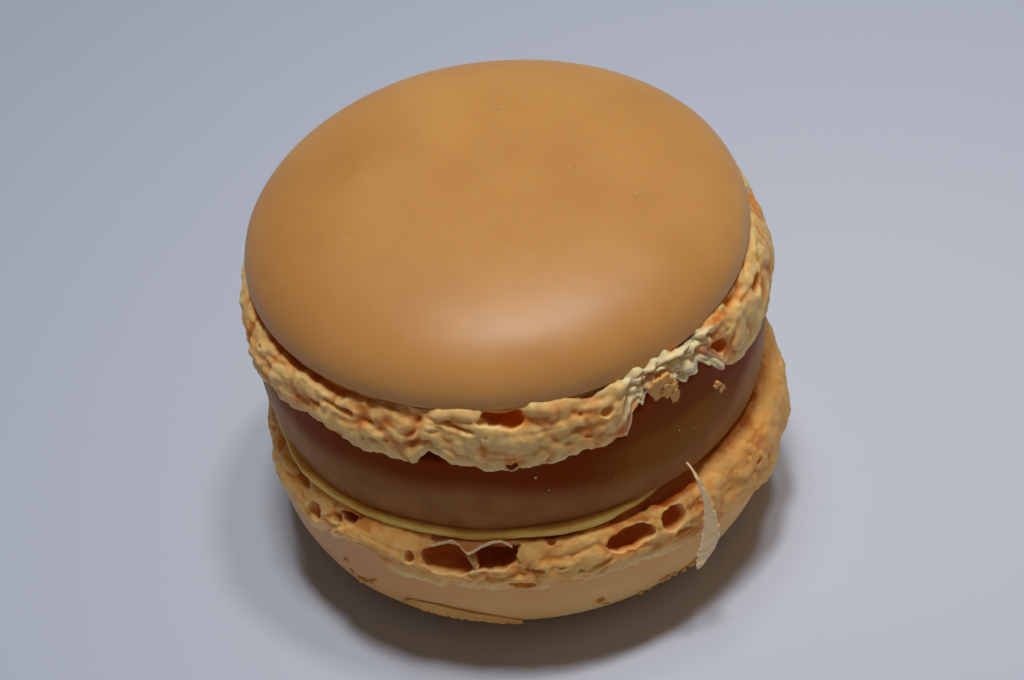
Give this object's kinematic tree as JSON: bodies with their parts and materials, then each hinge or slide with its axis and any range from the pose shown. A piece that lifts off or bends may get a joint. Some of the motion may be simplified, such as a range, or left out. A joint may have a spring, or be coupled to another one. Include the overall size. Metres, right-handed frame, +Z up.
{
  "type": "french macaron",
  "caption": "Round sandwich biscuit of smooth domed almond shells with ruffled feet around a bulging caramel filling, one foot chipped.",
  "frame": {"origin": "middle of the flat spot that the lower dome rests on", "axes": "+Z up through both domes, -Y towards the front, where the upper foot is broken away"},
  "size_m": [0.0417, 0.0421, 0.0313],
  "materials": {
    "shell": "satin baked almond meringue, smooth on the domes and rough and bubbly on the feet",
    "filling": "dark soft caramel with a low satin sheen"
  },
  "bodies": {
    "root": {"top_shell": "shell", "filling": "filling", "bottom_shell": "shell"}
  },
  "joints": []
}
